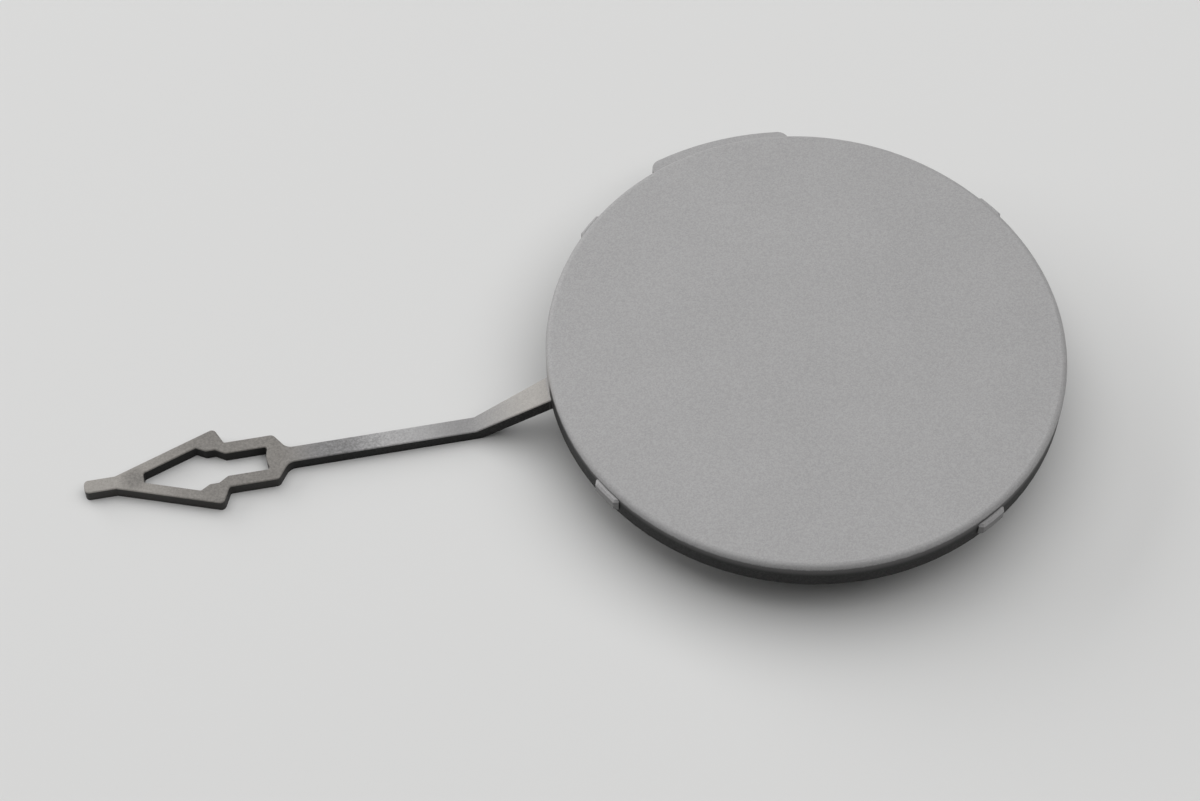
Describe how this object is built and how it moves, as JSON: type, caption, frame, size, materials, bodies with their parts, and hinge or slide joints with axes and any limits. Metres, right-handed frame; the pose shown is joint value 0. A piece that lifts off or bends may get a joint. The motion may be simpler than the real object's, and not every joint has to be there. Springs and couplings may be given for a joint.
{
  "type": "tow hook cover",
  "caption": "Round bumper cover for a towing eye: crowned cap with a turned-down rim, hooked tongue, snap finger, and a tether strap ending in a hollow arrow anchor.",
  "frame": {"origin": "the cap's axis at the plane of the collar's foot, which is the plane the cover rests on", "axes": "+Z along the cap's axis out of the painted face; the tether strap runs from the cap towards -X"},
  "size_m": [0.1332, 0.0738, 0.0121],
  "materials": {
    "painted_plastic": "satin silver-grey paint on the upper faces, thinning along the strap, over dark moulded plastic"
  },
  "bodies": {
    "root": {"tow_hook_cover": "painted_plastic"}
  },
  "joints": []
}
